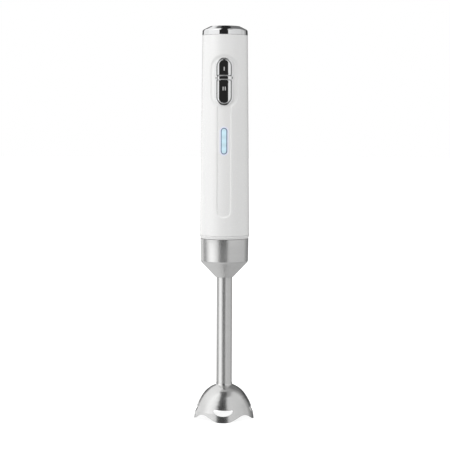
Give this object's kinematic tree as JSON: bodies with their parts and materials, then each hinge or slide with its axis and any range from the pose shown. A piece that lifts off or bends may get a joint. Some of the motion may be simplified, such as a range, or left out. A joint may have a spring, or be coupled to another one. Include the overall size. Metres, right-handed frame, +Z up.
{
  "type": "immersion blender",
  "caption": "Cordless stick blender with a white motor handle, speed buttons on the front and a pull-off steel wand that ends in a slotted guard round a spinning blade.",
  "frame": {"origin": "point on the drive axis in the plane of the guard's rim, where the blender would stand on a surface", "axes": "+Z up along the drive axis to the cap; the speed buttons face -Y; +X is to the right of someone looking at the buttons"},
  "size_m": [0.0628, 0.0628, 0.41],
  "materials": {
    "white_plastic": "satin-gloss white",
    "chrome_plating": "polished",
    "brushed_steel": "fine brushed round the axis",
    "blade_steel": "ground",
    "zinc_steel": "zinc plated",
    "lens_acrylic": "clear pale blue, lit from behind",
    "led_package": "gloss",
    "grey_nylon": "satin grey",
    "ivory_acetal": "satin",
    "light_nylon": "satin light grey",
    "black_plastic": "satin black",
    "black_rubber": "matte",
    "grey_silicone": "matte",
    "board_green": "satin solder mask",
    "cell_wrap": "teal sleeve",
    "nickel_strap": "bare nickel strip",
    "motor_steel": "plated sheet",
    "ferrite": "sintered",
    "copper_enamel": "enamelled copper",
    "bronze": "sintered",
    "carbon": "carbon",
    "red_sleeve": "pvc sleeve",
    "black_sleeve": "pvc sleeve"
  },
  "bodies": {
    "handle": {"front_housing": "white_plastic", "rear_housing": "white_plastic", "top_cap": "chrome_plating", "cap_gasket": "black_rubber", "bottom_ring": "white_plastic", "ring_screws": "zinc_steel", "button_bezel": "chrome_plating", "speed_1_boot": "grey_silicone", "speed_2_boot": "grey_silicone", "indicator_lens": "lens_acrylic", "indicator_leds": "led_package", "speed_switches": "black_plastic", "control_board": "board_green", "board_components": "black_plastic", "board_screws": "zinc_steel", "chassis": "grey_nylon", "battery_cells": "cell_wrap", "cell_straps": "nickel_strap", "positive_leads": "red_sleeve", "negative_leads": "black_sleeve", "charge_jack": "black_plastic", "coupling_socket": "light_nylon", "socket_seal": "black_rubber", "latch_ring": "zinc_steel", "release_springs": "zinc_steel", "motor_can": "motor_steel", "motor_sleeve": "grey_silicone", "motor_magnets": "ferrite", "motor_end_cap": "black_plastic", "motor_bushes": "bronze", "motor_brushes": "carbon", "motor_screws": "zinc_steel"},
    "speed_1": {"speed_1_button": "chrome_plating"},
    "speed_2": {"speed_2_button": "chrome_plating"},
    "release": {"release_button": "white_plastic"},
    "rotor": {"motor_shaft": "motor_steel", "rotor_core": "motor_steel", "rotor_windings": "copper_enamel", "commutator": "copper_enamel", "drive_coupler": "grey_nylon"},
    "wand": {"coupling_shell": "brushed_steel", "coupler_insert": "grey_nylon", "neck_seal": "black_rubber", "upper_bush": "bronze", "wand_tube": "brushed_steel", "shaft_guide": "ivory_acetal", "bearing_carrier": "grey_nylon", "lower_bush": "bronze", "shaft_seal": "black_rubber", "blade_guard": "brushed_steel"},
    "cutter": {"drive_shaft": "blade_steel", "driven_coupler": "black_plastic", "retaining_ring": "zinc_steel", "blade_hub": "blade_steel", "blade": "blade_steel", "blade_washer": "blade_steel", "blade_nut": "blade_steel"}
  },
  "joints": [
    {"name": "speed_1_press", "type": "slide", "parent": "handle", "child": "speed_1", "axis": [0, 1, 0], "range_m": [0, 0.0015], "stiffness_N_per_m": 1200, "springref_m": -0.00025, "deforming": ["speed_1_boot"]},
    {"name": "speed_2_press", "type": "slide", "parent": "handle", "child": "speed_2", "axis": [0, 1, 0], "range_m": [0, 0.0015], "stiffness_N_per_m": 1200, "springref_m": -0.00025, "deforming": ["speed_2_boot"]},
    {"name": "release_press", "type": "slide", "parent": "handle", "child": "release", "axis": [0, -1, 0], "range_m": [0, 0.0025], "stiffness_N_per_m": 2400, "springref_m": -0.00025, "deforming": ["release_springs"]},
    {"name": "wand_pull", "type": "slide", "parent": "handle", "child": "wand", "axis": [0, 0, -1], "range_m": [0, 0.045], "deforming": ["latch_ring"]},
    {"name": "motor_spin", "type": "hinge", "parent": "handle", "child": "rotor", "pos_m": [0, 0, 0.24], "axis": [0, 0, 1], "continuous": true},
    {"name": "blade_spin", "type": "hinge", "parent": "wand", "child": "cutter", "pos_m": [0, 0, 0.1], "axis": [0, 0, 1], "continuous": true}
  ],
  "couplings": [
    {"joint": "blade_spin", "follows": "motor_spin", "ratio": 1}
  ]
}
